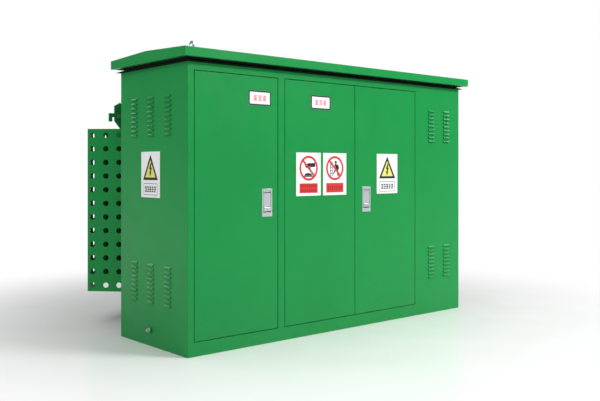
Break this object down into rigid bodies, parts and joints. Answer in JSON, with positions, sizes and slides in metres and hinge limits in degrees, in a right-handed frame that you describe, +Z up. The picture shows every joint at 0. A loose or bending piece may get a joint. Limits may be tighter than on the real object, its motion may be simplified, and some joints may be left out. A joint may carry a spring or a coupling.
{
  "type": "pad-mounted transformer",
  "caption": "Green sheet-metal switch cabinet with louvred sides and three doors in front of an oil tank, with panel radiators behind perforated guards.",
  "frame": {"origin": "centre of the four anchor holes of the base frame, on its bottom face", "axes": "+Z up, -Y is the door side, +X runs to the right of the doors along the longest side"},
  "size_m": [2.476, 1.622, 1.725],
  "materials": {
    "cabinet_green": "semi-gloss powder coat, strong green",
    "tank_green": "semi-gloss paint, darker green",
    "neck_dark": "matt near-black paint",
    "lock_chrome": "satin chrome on die-cast zinc",
    "zinc_steel": "zinc-plated steel",
    "sign_white": "printed plate, white ground",
    "seal_rubber": "foam rubber profile",
    "core_steel": "laminated silicon steel",
    "winding_copper": "enamelled copper winding",
    "winding_paper": "paper-wrapped winding",
    "bushing_epoxy": "red-brown epoxy",
    "bushing_porcelain": "glazed porcelain",
    "busbar_copper": "tinned copper bar",
    "gauge_black": "black dial housing",
    "valve_brass": "cast brass",
    "breaker_plastic": "dark moulded plastic",
    "handle_red": "red moulded plastic",
    "handle_yellow": "yellow painted lever",
    "floor_galv": "galvanised sheet",
    "fuse_black": "moulded fuse holder"
  },
  "bodies": {
    "enclosure": {"cabinet_front_frame": "cabinet_green", "left_side_panel": "cabinet_green", "right_side_panel": "cabinet_green", "front_vent_panel": "cabinet_green", "cabinet_back_panel": "cabinet_green", "compartment_barrier": "cabinet_green", "roof_cover": "cabinet_green", "guard_left": "cabinet_green", "guard_right": "cabinet_green", "guard_rear": "cabinet_green", "tank_shell": "tank_green", "tank_lid": "tank_green", "lifting_lugs": "tank_green", "radiator_left": "tank_green", "radiator_right": "tank_green", "radiator_rear": "tank_green", "base_frame": "tank_green", "roof_neck": "neck_dark", "eave_strip": "neck_dark", "roof_lifting_eyes": "zinc_steel", "door_pivot_pins": "zinc_steel", "earth_stud": "zinc_steel", "tank_bolts": "zinc_steel", "side_danger_sign": "sign_white", "lid_gasket": "seal_rubber", "core": "core_steel", "lv_windings": "winding_copper", "hv_windings": "winding_paper", "hv_bushings": "bushing_epoxy", "lv_bushings": "bushing_porcelain", "lv_busbars": "busbar_copper", "tank_gauges": "gauge_black", "tank_valves": "valve_brass", "breaker_body": "breaker_plastic", "floor_plate": "floor_galv"},
    "hv_door": {"hv_door": "cabinet_green", "hv_door_seal": "seal_rubber", "hv_lock_plate": "lock_chrome", "hv_name_plate": "sign_white"},
    "hv_lock_lever": {"hv_lock_lever": "lock_chrome"},
    "hv_lock_button": {"hv_lock_button": "lock_chrome"},
    "hv_latch_bolt": {"hv_latch_bolt": "zinc_steel"},
    "lv_left_door": {"lv_left_door": "cabinet_green", "lv_left_door_seal": "seal_rubber", "lv_left_plates": "sign_white"},
    "lv_right_door": {"lv_right_door": "cabinet_green", "lv_right_door_seal": "seal_rubber", "lv_lock_plate": "lock_chrome", "front_danger_sign": "sign_white"},
    "lv_lock_lever": {"lv_lock_lever": "lock_chrome"},
    "lv_lock_button": {"lv_lock_button": "lock_chrome"},
    "lv_latch_rod_top": {"lv_latch_rod_top": "zinc_steel"},
    "lv_latch_rod_bottom": {"lv_latch_rod_bottom": "zinc_steel"},
    "load_switch_handle": {"load_switch_handle": "handle_red"},
    "tap_changer_knob": {"tap_changer_knob": "handle_red"},
    "fuse_holder_a": {"fuse_holder_a": "fuse_black"},
    "fuse_holder_b": {"fuse_holder_b": "fuse_black"},
    "fuse_holder_c": {"fuse_holder_c": "fuse_black"},
    "drain_valve_handle": {"drain_valve_handle": "handle_yellow"},
    "breaker_toggle": {"breaker_toggle": "handle_red"}
  },
  "joints": [
    {"name": "hv_door_swing", "type": "hinge", "parent": "enclosure", "child": "hv_door", "pos_m": [-1.138, -0.658, 0.8165], "axis": [0, 0, -1], "range_deg": [0, 105]},
    {"name": "lv_left_door_swing", "type": "hinge", "parent": "enclosure", "child": "lv_left_door", "pos_m": [-0.491, -0.658, 0.8165], "axis": [0, 0, -1], "range_deg": [0, 105]},
    {"name": "lv_right_door_swing", "type": "hinge", "parent": "enclosure", "child": "lv_right_door", "pos_m": [0.687, -0.658, 0.8165], "axis": [0, 0, 1], "range_deg": [0, 105]},
    {"name": "hv_lever_pull", "type": "hinge", "parent": "hv_door", "child": "hv_lock_lever", "pos_m": [-0.637, -0.66, 0.872], "axis": [-1, 0, 0], "range_deg": [0, 40], "stiffness_Nm_per_rad": 0.35},
    {"name": "hv_button_push", "type": "slide", "parent": "hv_door", "child": "hv_lock_button", "axis": [0, 1, 0], "range_m": [0, 0.004], "stiffness_N_per_m": 600},
    {"name": "hv_bolt_draw", "type": "slide", "parent": "hv_door", "child": "hv_latch_bolt", "axis": [-1, 0, 0], "range_m": [0, 0.014]},
    {"name": "lv_lever_pull", "type": "hinge", "parent": "lv_right_door", "child": "lv_lock_lever", "pos_m": [0.2045, -0.66, 0.872], "axis": [-1, 0, 0], "range_deg": [0, 40], "stiffness_Nm_per_rad": 0.35},
    {"name": "lv_button_push", "type": "slide", "parent": "lv_right_door", "child": "lv_lock_button", "axis": [0, 1, 0], "range_m": [0, 0.004], "stiffness_N_per_m": 600},
    {"name": "lv_top_rod_draw", "type": "slide", "parent": "lv_right_door", "child": "lv_latch_rod_top", "axis": [0, 0, -1], "range_m": [0, 0.014]},
    {"name": "lv_bottom_rod_draw", "type": "slide", "parent": "lv_right_door", "child": "lv_latch_rod_bottom", "axis": [0, 0, 1], "range_m": [0, 0.014]},
    {"name": "load_switch_turn", "type": "hinge", "parent": "enclosure", "child": "load_switch_handle", "pos_m": [-0.9, 0.033, 1.18], "axis": [0, 1, 0], "range_deg": [0, 90]},
    {"name": "tap_changer_turn", "type": "hinge", "parent": "enclosure", "child": "tap_changer_knob", "pos_m": [-0.68, 0.033, 1.18], "axis": [0, 1, 0], "range_deg": [0, 120]},
    {"name": "fuse_a_pull", "type": "slide", "parent": "enclosure", "child": "fuse_holder_a", "axis": [0, -1, 0], "range_m": [0, 0.36]},
    {"name": "fuse_b_pull", "type": "slide", "parent": "enclosure", "child": "fuse_holder_b", "axis": [0, -1, 0], "range_m": [0, 0.36]},
    {"name": "fuse_c_pull", "type": "slide", "parent": "enclosure", "child": "fuse_holder_c", "axis": [0, -1, 0], "range_m": [0, 0.36]},
    {"name": "drain_valve_turn", "type": "hinge", "parent": "enclosure", "child": "drain_valve_handle", "pos_m": [-0.9, 0.01, 0.228], "axis": [0, 0, -1], "range_deg": [0, 90]},
    {"name": "breaker_toggle_throw", "type": "hinge", "parent": "enclosure", "child": "breaker_toggle", "pos_m": [0.05, -0.184, 0.69], "axis": [-1, 0, 0], "range_deg": [-25, 25]}
  ],
  "couplings": [
    {"joint": "hv_bolt_draw", "follows": "hv_lever_pull", "m_per_rad": 0.02},
    {"joint": "lv_top_rod_draw", "follows": "lv_lever_pull", "m_per_rad": 0.02},
    {"joint": "lv_bottom_rod_draw", "follows": "lv_lever_pull", "m_per_rad": 0.02}
  ]
}
